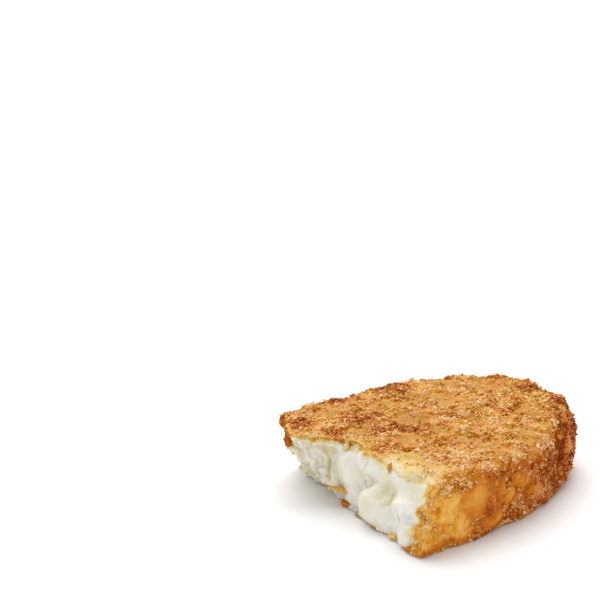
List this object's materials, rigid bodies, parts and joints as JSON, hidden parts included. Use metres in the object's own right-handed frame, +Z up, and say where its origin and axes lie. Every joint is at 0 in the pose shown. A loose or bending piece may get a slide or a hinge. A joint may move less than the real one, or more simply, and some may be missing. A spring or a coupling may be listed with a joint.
{
  "type": "hash brown",
  "caption": "Broken half of an oval fried potato patty: crisp golden-brown crumbly crust round a torn face of soft white potato, flat underneath.",
  "frame": {"origin": "middle of the bounding box, on the surface that the half patty lies on", "axes": "+Z up; +X along the patty from the torn face to the round end; +Y across the patty"},
  "size_m": [0.073, 0.0661, 0.0175],
  "materials": {
    "fried_potato": "rough golden-brown fried crust with fine pale crumb and toasted patches, and moist white potato on the torn face"
  },
  "bodies": {
    "root": {"hash_brown": "fried_potato"}
  },
  "joints": []
}
